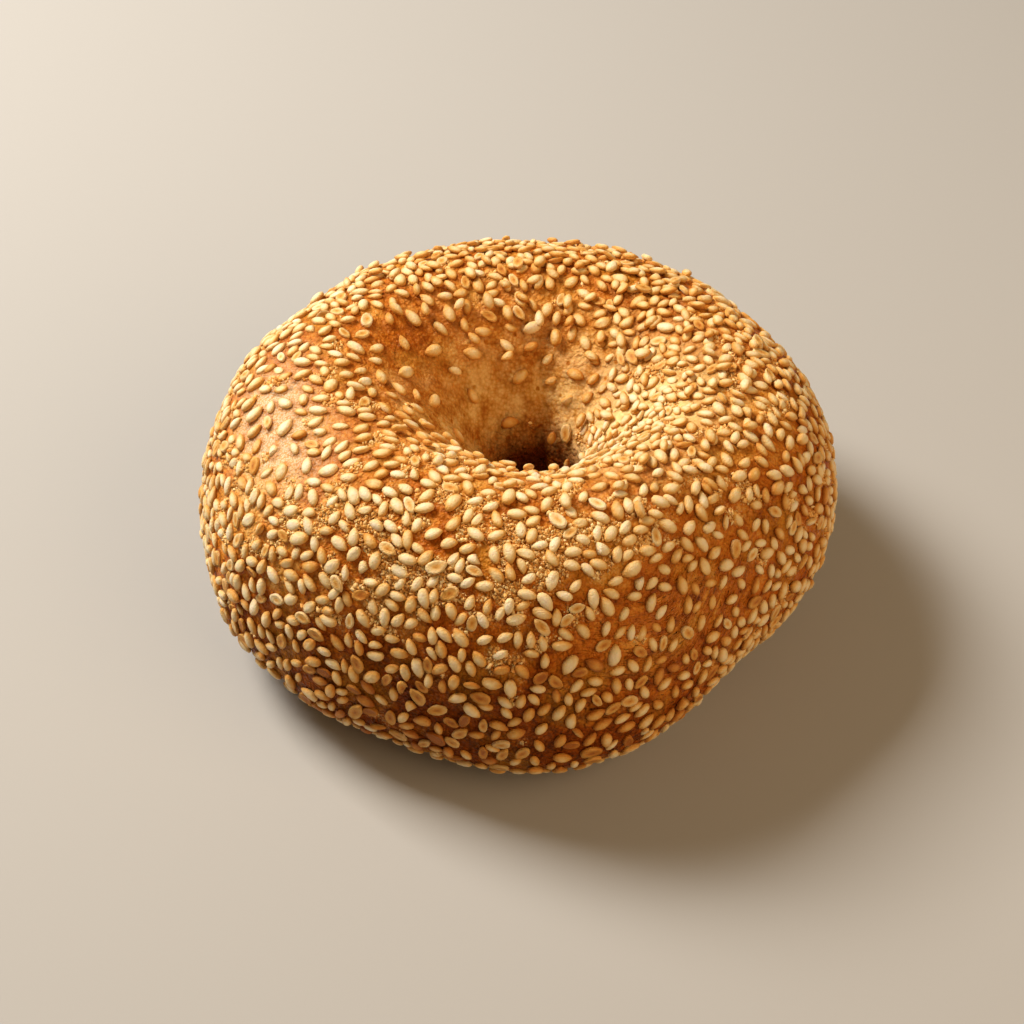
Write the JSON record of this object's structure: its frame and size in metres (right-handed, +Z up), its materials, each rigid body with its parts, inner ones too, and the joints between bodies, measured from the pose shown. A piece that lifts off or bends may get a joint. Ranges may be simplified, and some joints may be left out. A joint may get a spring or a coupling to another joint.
{
  "type": "sesame bagel",
  "caption": "Plump uncut ring of baked bread, slightly lopsided, with a narrow funnel-shaped hole and a crust covered in baked-on sesame seeds.",
  "frame": {"origin": "middle of the underside, at the height of the flat base that the bagel rests on", "axes": "+Z up out of the top crust, +X to the right and +Y away from somebody who faces the front"},
  "size_m": [0.1047, 0.1023, 0.0473],
  "materials": {
    "baked_crust": "baked bread crust, golden brown with a soft gloss",
    "sesame_seed": "toasted sesame seed, cream to golden brown with a satin gloss"
  },
  "bodies": {
    "root": {"bagel": "baked_crust"}
  },
  "joints": []
}
